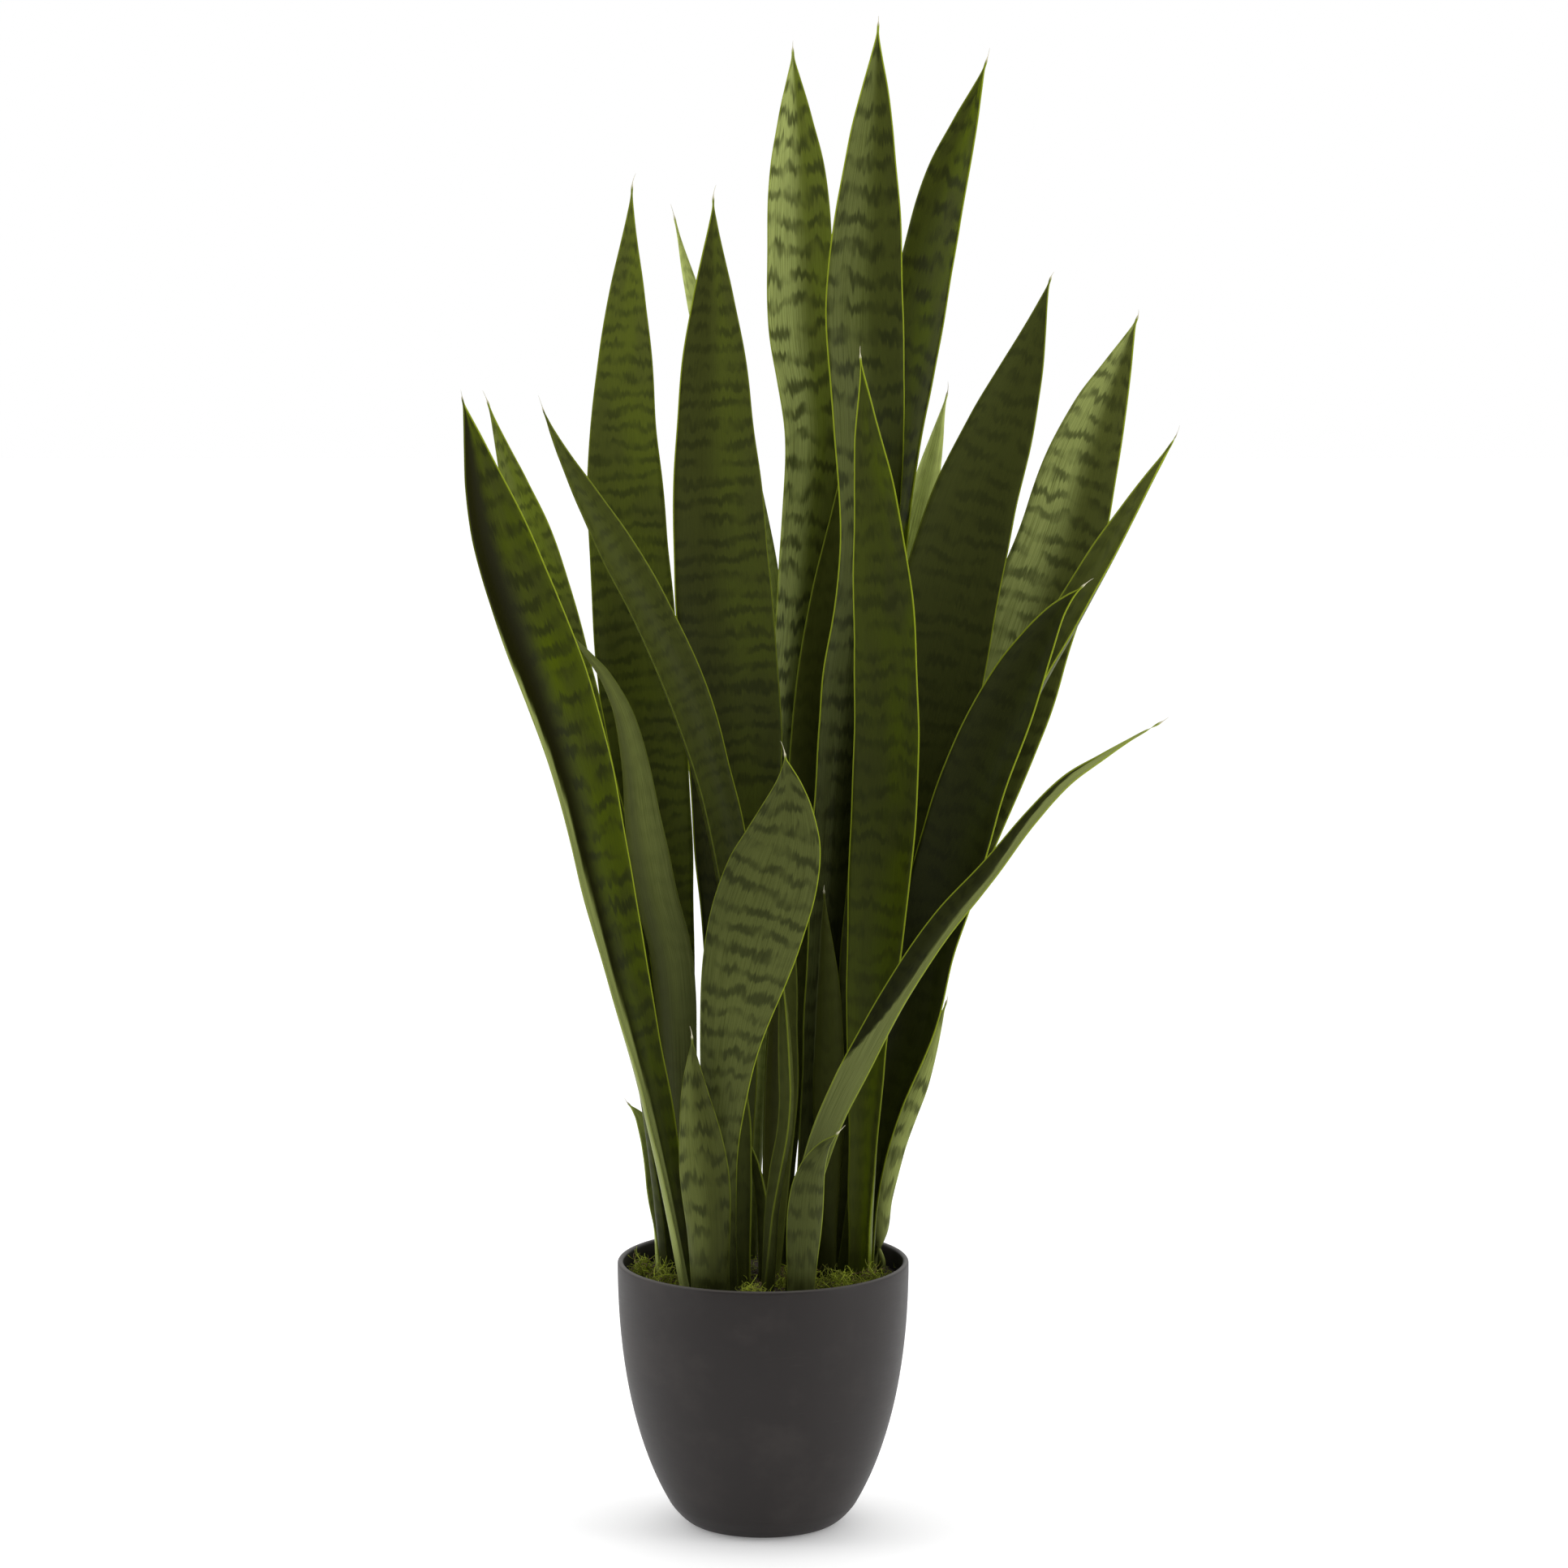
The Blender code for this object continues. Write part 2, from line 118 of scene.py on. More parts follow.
# A material around one Principled shader.
class Finish(Nodes):
    def __init__(self, name, roughness, specular=0.5):
        self.material = bpy.data.materials.new(name)
        self.material.use_nodes = True
        super().__init__(self.material.node_tree)
        self.shader = self.tree.nodes["Principled BSDF"]
        self.shader.inputs["Roughness"].default_value = roughness
        self.shader.inputs["Specular IOR Level"].default_value = specular

    def value(self, name):
        return self.node("Attribute", {"attribute_name": name}, output="Fac")

    def blend(self, first, second, amount):
        inputs = {0: amount, 6: first, 7: second}
        return self.node("Mix", {"data_type": "RGBA"}, inputs, output=2)

    def tint(self, colour, amount):
        inputs = {0: colour, "Scale": amount}
        return self.node("VectorMath", {"operation": "SCALE"}, inputs)

    def grain(self, place, scale, detail=3.0, roughness=0.55):
        inputs = {"Vector": place, "Scale": scale, "Detail": detail, "Roughness": roughness}
        return self.node("TexNoise", None, inputs)

    def surface(self, colour, roughness=None):
        self.feed(self.shader.inputs["Base Color"], colour)
        if roughness is not None:
            self.feed(self.shader.inputs["Roughness"], roughness)
        return self.material

    def relief(self, height, strength, depth):
        inputs = {"Strength": strength, "Distance": depth, "Height": height}
        self.feed(self.shader.inputs["Normal"], self.node("Bump", None, inputs))


# ---- small helpers ----

# 0 below low, 1 above high, with a soft change between them
def rise(value, low, high):
    share = min(max((value - low) / (high - low), 0.0), 1.0)
    return share * share * (3 - 2 * share)


def mixed(first, second, amount):
    return first + (second - first) * amount


# a smooth value between neighbouring ones that stand at the knots
def between(knots, values, place):
    index = min(max(bisect_right(knots, place) - 1, 0), len(knots) - 2)
    before = max(index - 1, 0)
    after = min(index + 2, len(knots) - 1)
    span = knots[index + 1] - knots[index]
    t = (place - knots[index]) / span
    leave = (values[index + 1] - values[before]) / (knots[index + 1] - knots[before]) * span
    arrive = (values[after] - values[index]) / (knots[after] - knots[index]) * span
    return (values[index] * (2 * t ** 3 - 3 * t ** 2 + 1) + leave * (t ** 3 - 2 * t ** 2 + t)
            + values[index + 1] * (3 * t ** 2 - 2 * t ** 3) + arrive * (t ** 3 - t ** 2))


def distancesAlong(points):
    distances = [0.0]
    for start, end in zip(points, points[1:]):
        distances.append(distances[-1] + (end - start).length)
    return distances


# ---- reading the frame ----

def mergedCopy(node):
    shape = bmesh.new()
    shape.from_mesh(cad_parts[node].data)
    bmesh.ops.remove_doubles(shape, verts=shape.verts, dist=0.002 * mm)
    return shape


# the corners of a solid, ring after ring, counted in edges from the ones it starts with
def ringsFrom(start):
    rings = []
    level = list(start)
    seen = set(level)
    while level:
        rings.append([vert.co.copy() for vert in level])
        following = []
        for vert in level:
            for edge in vert.link_edges:
                other = edge.other_vert(vert)
                if other not in seen:
                    seen.add(other)
                    following.append(other)
        level = following
    return rings


# ---- handing a piece over ----

def finishedPiece(name, shape, material, node):
    mesh = bpy.data.meshes.new(name)
    shape.to_mesh(mesh)
    shape.free()
    mesh.shade_smooth()
    mesh.materials.append(material)
    piece = bpy.data.objects.new(name, mesh)
    bpy.context.collection.objects.link(piece)
    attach(piece, "root")
    if node:
        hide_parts(node)


# ---- leaves ----

leafLook = {
    "rows": 170,
    "columns": 16,
    "tipCrowding": 1.7,            # over 1, the rows stand closer together towards the tip
    "marginHalf": 0.32 * mm,       # half the thickness at the margin
    "fullMargin": 4 * mm,          # blades narrower than this have a thinner margin
    "hair": 8 * mm,                # length of the dry thread at the tip
    "hairLength": (0.5, 1.1),      # shortest and longest thread, as shares of that
    "ripple": 0.9 * mm,            # how far the margins wander to the front and back
    "rippleAcross": 1.6,           # how much further they wander across
    "rippleLength": 55 * mm,
    "calmFoot": 90 * mm,           # the wandering dies out over this length at the foot
    "calmTip": 60 * mm,            # and over this one at the tip
    "hairTaper": ((0.2, 0.5), (0.45, 0.28), (0.75, 0.2), (1.0, 0.1)),   # (share of it, thickness)
    "bandSpacing": 15.0,           # millimetres from one dark band to the next
    "bandDrift": 1.5,              # how many spacings the bands may drift
    "bandCrest": (-0.55, 0.95),    # heights of the wave between which a band darkens
    "bandDepth": 0.8,              # how dark a band is at its strongest
    "fullBands": 0.55,             # share of the leaf from which its bands are at full strength
    "marginWidth": 0.6,            # millimetres
    "patternHalf": 24 * mm,        # half the width that the pattern is drawn for
    "patternShift": 1.37,          # metres from one leaf's pattern to the next one's
    "green": (0.078, 0.092, 0.016, 1),
    "bandGreen": (0.028, 0.034, 0.008, 1),
    # painted sunlight
    "sunGreen": (0.110, 0.150, 0.002, 1),
    # pale painted sheen, also used for the paler underside of a curled margin
    "sheenAndUndersideGreen": (0.300, 0.345, 0.105, 1),
    # painted shade: near-black olive where leaves lie in shade
    "paintedShadeGreen": (0.014, 0.014, 0.001, 1),
    # the yellow-green margin line, painted brighter where light shines through it
    "marginGreen": (0.300, 0.370, 0.020, 1),
    "hairColour": (0.62, 0.58, 0.42, 1),
    "roughness": 0.42,
    "specular": 0.05,
    "relief": 0.35,
    "reliefDepth": 0.35 * mm,
    "halfBlend": (0.325, 0.675),   # shares of the width between which the left half becomes the right
    "curlBlend": 0.05,             # share of the width over which a curled margin's colour fades out
    "undersideLight": 0.3,         # how much brighter the underside of a curled margin is
    "footBands": 0.45,             # strength of the bands at the foot
    "footEdge": 0.25,              # brightness of the painted light through the margins at the foot
    "fullEdge": (0.1, 0.5),        # shares of the leaf between which the painted light through the margins brightens
    "middle": 0.45,                # where along a leaf its middle light stands
    "turnedBack": (0.05, 0.45),    # how far a face points to the back as its colour becomes rearLook
}

# for each pattern: cycles per millimetre across and along the blade, the slice of noise it is
# taken from, its detail and its roughness
leafPatterns = {
    "streak": (1.4, 0.018, 0, 4, 0.6),
    "fringe": (0.42, 0.020, 3, 3, 0.65),
    "wander": (0.055, 0.030, 8, 2, 0.55),
    "patch": (0.075, 0.040, 15, 2, 0.55),
    "cloud": (0.03, 0.012, 23, 2, 0.55),
}

# for each leaf: its painted light and shade at foot, middle and tip; how much painted sunlight,
# pale painted sheen, painted shade and painted light through the yellow-green margins its left and
# right halves carry, seen from the front; how strong its bands are, and how far apart; and how much
# of its width shows the underside where its left or right margin curls over, in even steps from
# foot to tip
leaves = {
    "leaf_left_outer": {"light": (0.5, 0.5, 0.95), "shade": (1, 0.1), "sun": (0.2, 1), "bands": 0.9,
                        "spacing": 1.1, "edge": (0.2, 0.9), "underLeft": (0.5, 0.5, 0.38, 0.27, 0, 0)},
    "leaf_left_rear": {"light": (0.2, 0.5, 1.3), "sun": (0.5, 0.7), "pale": (0.2, 0.1), "spacing": 0.7,
                       "edge": (0.2, 0.9)},
    "leaf_left_inner": {"light": (0.25, 0.45, 1.2), "shade": (0.4, 0), "pale": (0.2, 0.35), "bands": 0.15,
                        "edge": (0.15, 0.15)},
    "leaf_left_diagonal": {"light": (0.5, 0.4, 0.85), "sun": (0.1, 0.1), "bands": 0.6, "spacing": 0.7,
                           "edge": (0.15, 0.4)},
    "leaf_tall_left": {"light": (0.55, 0.95, 1.3), "sun": (0.2, 0.3), "spacing": 0.7, "edge": (0.3, 0.5)},
    "leaf_rear_left": {"light": (0.3, 1.6, 2), "pale": (0.8, 0.7), "bands": 0.4, "spacing": 0.6,
                       "edge": (0.3, 0.3)},
    "leaf_centre_left": {"light": (0.4, 0.5, 0.95), "shade": (0.4, 0.05), "sun": (0, 0.25),
                         "spacing": 0.8, "edge": (0.7, 0.3)},
    "leaf_tall_centre": {"light": (0.75, 1.8, 1.45), "shade": (0, 0.12), "pale": (1, 0.05),
                         "sun": (0.1, 0.4), "bands": 1, "spacing": 1.15, "edge": (0.5, 0.6)},
    "leaf_centre_dark": {"light": (1.2, 1.3, 1.5), "shade": (0.3, 0.3), "bands": 0.4, "edge": (0.4, 0.1)},
    "leaf_tallest": {"light": (0.4, 0.32, 0.76), "pale": (0.5, 0), "sun": (0.3, 0.1), "bands": 0.9,
                     "spacing": 1.2, "edge": (0.9, 0.9)},
    "leaf_tall_right": {"light": (0.7, 0.8, 0.85), "shade": (0.35, 0), "sun": (0.35, 1), "bands": 1,
                        "spacing": 1.2, "edge": (0.4, 0.8)},
    "leaf_rear_right": {"light": (1.8, 2.3, 2.3), "pale": (1, 1), "bands": 0.2},
    "leaf_front_centre": {"light": (1.2, 0.45, 0.6), "sun": (0.3, 0.8), "bands": 0.6, "edge": (0.8, 0.8)},
    "leaf_right_wide": {"light": (0.8, 0.55, 0.65), "shade": (0.15, 0.2), "bands": 0.6, "spacing": 0.9,
                        "edge": (0.2, 0.6)},
    "leaf_right_light": {"light": (2, 1, 1.25), "shade": (0, 0.3), "pale": (0.7, 0.05), "bands": 0.9,
                         "spacing": 0.9, "edge": (0.4, 0.8)},
    "leaf_right_folded": {"light": (1.3, 0.9, 1.05), "bands": 0.5, "edge": (0.6, 0.9)},
    "leaf_right_low": {"light": (0.45, 0.22, 0.28), "sun": (0, 0.3), "bands": 0.5, "edge": (0.5, 0.8)},
    "leaf_right_small": {"light": (0.6, 1.15, 1.25), "pale": (0.5, 0.5), "bands": 1, "spacing": 1.3,
                         "edge": (0.7, 0.3)},
    "leaf_arching_right": {"light": (0.15, 0.28, 0.6), "shade": (0.35, 0.1), "pale": (0, 0.1),
                           "bands": 0.6, "spacing": 0.8, "edge": (0.6, 0.6),
                           "underRight": (0.3, 1.2, 1.2, 0.5, 0.42, 0.7, 1.2)},
    "leaf_front_broad": {"light": (0.3, 0.66, 0.6), "shade": (0, 0.08), "pale": (0.25, 0.3),
                         "bands": 0.9, "spacing": 0.9, "edge": (0.4, 0.8)},
    "leaf_front_short": {"light": (0.15, 0.7, 0.85), "shade": (0, 0.3), "pale": (0.25, 0.1), "bands": 1,
                         "spacing": 1.1, "edge": (0.1, 0.2)},
    "leaf_left_hooked": {"light": (1.6, 2, 2.2), "sun": (0.2, 0.1), "pale": (0.7, 0.5), "bands": 0.4},
    "leaf_front_right": {"light": (0.36, 0.45, 0.45), "pale": (0.3, 0.3), "bands": 0.7, "edge": (0.3, 0.5)},
    "leaf_front_narrow": {"light": (0.3, 0.6, 0.8), "pale": (0.1, 0.1), "bands": 0.3, "edge": (0.2, 0.3)},
    "leaf_bud_front": {"light": (0.4, 0.5, 0.8), "bands": 0.4},
    "leaf_bud_centre": {"light": (0.5, 0.6, 0.8), "pale": (0.1, 0.1), "bands": 0.4},
    "leaf_dark_centre": {"light": (2.2, 1.1, 1.3), "shade": (0.8, 0.2), "bands": 0.3, "edge": (0.1, 0.2)},
    "leaf_dark_right": {"light": (0.6, 0.9, 1), "shade": (0.5, 0.4), "bands": 0.3, "edge": (0.1, 0.1)},
}
plainLook = {"sun": (0, 0), "pale": (0, 0), "shade": (0, 0), "edge": (0.3, 0.3),
             "bands": 0.8, "spacing": 1, "underLeft": (0, 0), "underRight": (0, 0)}
# the faces turned to the back of the plant get an even painted light, little painted sunlight and sheen,
# and no painted shade
rearLook = {"light": 0.75, "sun": 0.25, "pale": 0.12, "shade": 0}


def leafFinish():
    finish = Finish("leafBlade", leafLook["roughness"], leafLook["specular"])
    metres = finish.node("UVMap", {"uv_map": "leafUV"})
    across = finish.node("SeparateXYZ", None, {0: metres}) * 1000
    along = finish.node("SeparateXYZ", None, {0: metres}, output=1) * 1000

    def drawn(pattern):
        perAcross, perAlong, depth, detail, roughness = leafPatterns[pattern]
        place = {"X": across * perAcross, "Y": along * perAlong, "Z": depth}
        return finish.grain(finish.node("CombineXYZ", None, place), 1, detail, roughness)

    streak = drawn("streak")
    cloud = drawn("cloud")
    wander = drawn("wander")

    # a dark band at each crest of a wave that frays and drifts, left out where the patches are low
    drift = (drawn("fringe") - 0.5) + (wander - 0.5) * leafLook["bandDrift"]
    phase = along / leafLook["bandSpacing"] + drift
    crest = (phase * math.tau).sine().rise(*leafLook["bandCrest"])
    bands = crest * drawn("patch").rise(0.30, 0.60) * finish.value("bands")

    # painted sunlight in cloudy patches
    sunlit = finish.value("sun") * cloud.rise(0.30, 0.62)
    # pale painted sheen in streaks, together with the paler underside where a margin curls over
    paintedSheenAndUnderside = finish.value("pale") * streak.rise(0.10, 0.62)
    colour = finish.blend(leafLook["green"], leafLook["sunGreen"], sunlit)
    colour = finish.blend(colour, leafLook["sheenAndUndersideGreen"], paintedSheenAndUnderside)
    colour = finish.blend(colour, leafLook["bandGreen"], bands * leafLook["bandDepth"])
    # painted shade darkens each part of the leaf by its shade value
    colour = finish.blend(colour, leafLook["paintedShadeGreen"], finish.value("shade"))
    # the leaf's own tone in grain and clouds, times the painted light and shade along the leaf
    colour = finish.tint(colour, (0.62 + streak * 0.4 + cloud * 0.36) * finish.value("light"))
    width = leafLook["marginWidth"]
    # a thin yellow-green margin line, painted as bright as the light shining through it there
    rim = 1 - finish.value("margin").rise(width * 0.55, width * 1.35)
    colour = finish.blend(colour, leafLook["marginGreen"], rim * finish.value("edge"))
    colour = finish.blend(colour, leafLook["hairColour"], finish.value("hair"))
    finish.relief(streak * 0.8 + wander * 0.6, leafLook["relief"], leafLook["reliefDepth"])
    return finish.surface(colour, leafLook["roughness"] - 0.08 + streak * 0.18 - bands * 0.04)


# five points across the blade's middle surface and half its thickness, at each ring of the solid
def readSections(node):
    shape = mergedCopy(node)
    rings = ringsFrom(sorted(shape.verts, key=lambda vert: vert.co.z)[:8])
    shape.free()
    centres = [sum(ring, Vector()) / len(ring) for ring in rings]
    sections = []
    face = None
    for index, ring in enumerate(rings):
        ahead = centres[min(index + 1, len(rings) - 1)] - centres[max(index - 1, 0)]
        left, right = max(combinations(ring, 2), key=lambda pair: (pair[0] - pair[1]).length)
        rest = [point for point in ring if point is not left and point is not right]
        rest.sort(key=lambda point: point.dot(right - left))
        pairs = [rest[0:2], rest[2:4], rest[4:6]]
        middles = [(first + second) / 2 for first, second in pairs]
        if face is None:
            face = (left + right) / 2 - middles[1]
        inner, outer = sorted(pairs[1], key=lambda point: -point.dot(face))
        face = (inner - outer).normalized()
        half = (inner - outer).length / 2
        if (right - left).dot(ahead.cross(face)) < 0:
            left, right = right, left
            middles.reverse()
        sections.append(([left] + middles + [right], half))
    return sections


# the length of a run of sections, measured up to each one along the middle of the blade
def measured(sections):
    return distancesAlong([points[2] for points, half in sections])


# a dry thread that carries on from the tip
def withHair(sections, length, rng):
    points, half = sections[-1]
    ahead = (points[2] - sections[-3][0][2]).normalized()
    bend = Vector((rng.uniform(-0.5, 0.5), rng.uniform(-0.4, 0.4), rng.uniform(-0.1, 0.2)))
    made = list(sections)
    for share, slim in leafLook["hairTaper"]:
        middle = points[2] + ahead * length * share + bend * length * share ** 2 * 0.6
        made.append(([middle + (point - points[2]) * slim for point in points], half * slim))
    return made


# bends a flat grid to the blade's middle surface; across runs from -1 to 1 between the margins,
# which wander more where the blade is wide
def bendGrid(shape, layers, sections, reach, phases):
    knots = measured(sections)
    lines = [[points[column] for points, half in sections] for column in range(5)]
    halves = [half for points, half in sections]
    growing = sections[1][0][2] - sections[0][0][2]
    rows = {}
    for vert in shape.verts:
        across = vert.co.x
        place = knots[-1] * (1 - (1 - (vert.co.y + 1) / 2) ** leafLook["tipCrowding"])
        row = round(vert.co.y, 5)
        if row not in rows:
            rows[row] = ([between(knots, line, place) for line in lines], between(knots, halves, place))
        points, half = rows[row]
        width = (points[4] - points[0]).length
        side = (points[4] - points[0]).normalized()
        calm = rise(place, 0, leafLook["calmFoot"]) * rise(reach - place, 0, leafLook["calmTip"])
        swing = leafLook["ripple"] * calm * across * across
        run = place / leafLook["rippleLength"]
        outPhase, facePhase = phases[:2] if across < 0 else phases[2:]
        out = noise.noise(Vector((run, outPhase, 0))) * swing * leafLook["rippleAcross"]
        over = noise.noise(Vector((run * 1.3, facePhase, 7))) * swing
        vert.co = between([-1, -0.5, 0, 0.5, 1], points, across)
        vert.co += side * (out if across > 0 else -out)
        vert.co += side.cross(growing).normalized() * over
        vert[layers["across"]] = across
        vert[layers["along"]] = place
        margin = leafLook["marginHalf"] * min(1.0, width / leafLook["fullMargin"])
        vert[layers["half"]] = max(half, 0.0) * (1 - across * across) + margin
        vert[layers["margin"]] = (1 - abs(across)) * width / 2 / mm
        vert[layers["hair"]] = rise(place, reach - 2 * mm, reach + 1 * mm)


# a share of the width, given at even steps from foot to tip
def portion(shares, place):
    return between([step / (len(shares) - 1) for step in range(len(shares))], shares, place)


def paintBlade(shape, layers, look, reach, toRight):
    for vert in shape.verts:
        across = vert[layers["across"]]
        share = min(max(vert[layers["along"]] / reach, 0.0), 1.0)
        fromLeft = (1 + across) / 2 if toRight else (1 - across) / 2
        rightHalf = rise(fromLeft, *leafLook["halfBlend"])
        # painted sunlight, pale painted sheen, painted shade and painted light through the margins, blended
        # from the left half to the right
        painted = {name: mixed(*look[name], rightHalf) for name in ("sun", "pale", "shade", "edge")}
        # painted light and shade, from the foot over the middle to the tip
        painted["light"] = between([0, leafLook["middle"], 1], look["light"], share)
        above = rise(share, 0, leafLook["fullBands"])
        painted["bands"] = look["bands"] * mixed(leafLook["footBands"], 1, above)
        # the painted light through the margins fades towards the foot
        painted["edge"] *= mixed(leafLook["footEdge"], 1, rise(share, *leafLook["fullEdge"]))
        # where a margin curls over, its paler underside shows
        curled = rise(portion(look["underLeft"], share) - fromLeft, 0, leafLook["curlBlend"])
        curled += rise(portion(look["underRight"], share) - 1 + fromLeft, 0, leafLook["curlBlend"])
        painted["under"] = curled
        painted["pale"] = mixed(painted["pale"], 1, curled)
        painted["shade"] *= 1 - curled
        painted["bands"] *= 1 - curled
        painted["light"] += curled * leafLook["undersideLight"]
        for name, value in painted.items():
            vert[layers[name]] = value


def mapBlade(shape, layers, spacing, shift):
    uvLayer = shape.loops.layers.uv.new("leafUV")
    for face in shape.faces:
        for loop in face.loops:
            across = loop.vert[layers["across"]] * leafLook["patternHalf"]
            loop[uvLayer].uv = (across + shift, loop.vert[layers["along"]] / spacing + shift)


# a skin on each side of the middle surface, and calmer painted light, sunlight, sheen and shade on
# whichever looks to the back
def thicken(shape, layers):
    outward = {vert: -vert.normal for vert in shape.verts}
    grown = bmesh.ops.extrude_face_region(shape, geom=shape.faces[:] + shape.edges[:],
                                          use_keep_orig=True)["geom"]
    outward.update({item: item.normal.copy() for item in grown if isinstance(item, bmesh.types.BMVert)})
    for vert, way in outward.items():
        vert.co += way * vert[layers["half"]]
        away = rise(way.y, *leafLook["turnedBack"]) * (1 - vert[layers["under"]])
        for name, value in rearLook.items():
            vert[layers[name]] = mixed(vert[layers[name]], value, away)
    bmesh.ops.recalc_face_normals(shape, faces=shape.faces)


def makeLeaf(node, index, material):
    rng = random.Random(100 + index)
    look = {**plainLook, **leaves[node]}
    solid = readSections(node)
    reach = measured(solid)[-1]
    sections = withHair(solid, leafLook["hair"] * rng.uniform(*leafLook["hairLength"]), rng)
    phases = [rng.uniform(0, 50) for wave in range(4)]
    middle = solid[len(solid) // 2][0]
    toRight = (middle[4] - middle[0]).x > 0

    shape = bmesh.new()
    bmesh.ops.create_grid(shape, x_segments=leafLook["columns"], y_segments=leafLook["rows"], size=1)
    names = ("half", "margin", "hair", "sun", "pale", "shade", "edge", "light", "bands", "under",
             "across", "along")
    layers = {name: shape.verts.layers.float.new(name) for name in names}
    bendGrid(shape, layers, sections, reach, phases)
    paintBlade(shape, layers, look, reach, toRight)
    shape.normal_update()
    mapBlade(shape, layers, look["spacing"], index * leafLook["patternShift"])
    thicken(shape, layers)
    finishedPiece(node + "_blade", shape, material, node)


bladeFinish = leafFinish()
for index, node in enumerate(leaves):
    makeLeaf(node, index, bladeFinish)
print("leaves made:", len(leaves))


# ---- planter ----

potLook = {
    "steps": 144,
    "perSpan": 4,                  # points of the outline from one corner of the solid to the next
    "charcoal": (0.019, 0.0155, 0.0145, 1),
    "dust": (0.050, 0.042, 0.038, 1),
    "smears": 0.35,                # how strongly the dust shows in broad smears
    "rubs": 0.25,                  # and in fine rubbed lines around the wall
    "smearScale": 22.0,            # cycles per metre, here and below
    "rubScale": 60.0,
    "grainScale": 900.0,
    # painted light: a lighter colour on the top of the lip, where light falls on it
    "lip": (0.085, 0.078, 0.070, 1),
    "lipHeight": 1.2 * mm,
    "roughness": 0.5,
    "specular": 0.25,
    "relief": 0.25,
    "reliefDepth": 0.15 * mm,
}
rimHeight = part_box("pot")[1][2]


def potFinish():
    finish = Finish("potCharcoal", potLook["roughness"], potLook["specular"])
    place = finish.node("TexCoord", output="Object")
    fine = finish.grain(place, potLook["grainScale"])
    smear = finish.grain(place, potLook["smearScale"], 4.0, 0.6)
    flattened = finish.node("Mapping", None, {"Vector": place, "Scale": (1, 1, 9)})
    rub = finish.grain(flattened, potLook["rubScale"], 5.0, 0.7)
    dusty = smear.rise(0.45, 0.75) * potLook["smears"] + rub.rise(0.58, 0.8) * potLook["rubs"]
    colour = finish.blend(potLook["charcoal"], potLook["dust"], dusty)
    height = finish.node("SeparateXYZ", None, {0: place}, output=2)
    # painted light on the top of the lip
    lip = height.rise(rimHeight - potLook["lipHeight"], rimHeight) * 0.8
    colour = finish.blend(colour, potLook["lip"], lip)
    finish.relief(fine * 0.5 + smear * 0.6, potLook["relief"], potLook["reliefDepth"])
    return finish.surface(colour, potLook["roughness"] + (smear - 0.5) * 0.18 + (rub - 0.5) * 0.1)


# the planter's outline as (radius, 0, height), out from its underside, over the lip and down inside
def potOutline():
    shape = mergedCopy("pot")
    lowest = min(vert.co.z for vert in shape.verts)
    rings = ringsFrom(vert for vert in shape.verts if vert.co.z < lowest + 0.01 * mm)
    shape.free()
    outline = []
    for ring in rings:
        radius = max(math.hypot(point.x, point.y) for point in ring)
        outline.append(Vector((radius, 0, sum(point.z for point in ring) / len(ring))))
    return outline


def smoothed(points, perSpan):
    knots = distancesAlong(points)
    made = []
    for start, end in zip(knots, knots[1:]):
        for step in range(perSpan):
            made.append(between(knots, points, start + (end - start) * step / perSpan))
    return made + [points[-1].copy()]


# spins an outline that begins and ends on the upright axis into a closed shell
def turned(points, steps):
    shape = bmesh.new()
    corners = [shape.verts.new(point) for point in points]
    edges = [shape.edges.new(pair) for pair in zip(corners, corners[1:])]
    bmesh.ops.spin(shape, geom=corners + edges, cent=(0, 0, 0), axis=up, dvec=(0, 0, 0),
                   angle=math.tau, steps=steps, use_merge=True, use_duplicate=False)
    bmesh.ops.remove_doubles(shape, verts=shape.verts, dist=0.005 * mm)
    bmesh.ops.recalc_face_normals(shape, faces=shape.faces)
    return shape


def makePlanter(outline):
    wall = [point for point in outline if point.x > 0.1 * mm]
    points = [Vector((0, 0, wall[0].z))] + smoothed(wall, potLook["perSpan"])
    points.append(Vector((0, 0, wall[-1].z)))
    finishedPiece("planter", turned(points, potLook["steps"]), potFinish(), "pot")


outline = potOutline()
makePlanter(outline)
print("planter made")


# ---- potting mix ----

mixLook = {
    "gap": 0.4 * mm,               # between the mix and the planter's wall and floor
    "rings": 64,
    "steps": 150,
    "lumps": 1.5 * mm,
    "bigLumps": 90,                # cycles per metre, here and below
    "smallLumps": 420,
    "crumbScale": 260.0,
    "fibreScale": 420.0,
    "earth": (0.026, 0.018, 0.006, 1),
    "fibre": (0.100, 0.066, 0.022, 1),
    "roughness": 0.95,
    "relief": 0.7,
    "reliefDepth": 0.8 * mm,
}
mixRadius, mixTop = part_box("soil")[1][0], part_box("soil")[1][2]


def mixFinish():
    finish = Finish("pottingMix", mixLook["roughness"])
    place = finish.node("TexCoord", output="Object")
    crumbs = finish.grain(place, mixLook["crumbScale"], 5.0, 0.7)
    stretched = {"Vector": place, "Scale": (3, 0.6, 1), "Rotation": (0, 0, 0.7)}
    fibres = finish.grain(finish.node("Mapping", None, stretched), mixLook["fibreScale"], 3.0, 0.6)
    colour = finish.blend(mixLook["earth"], mixLook["fibre"], fibres.rise(0.56, 0.72))
    colour = finish.tint(colour, 0.4 + crumbs * 1.2)
    finish.relief(crumbs + fibres * 0.5, mixLook["relief"], mixLook["reliefDepth"])
    return finish.surface(colour)


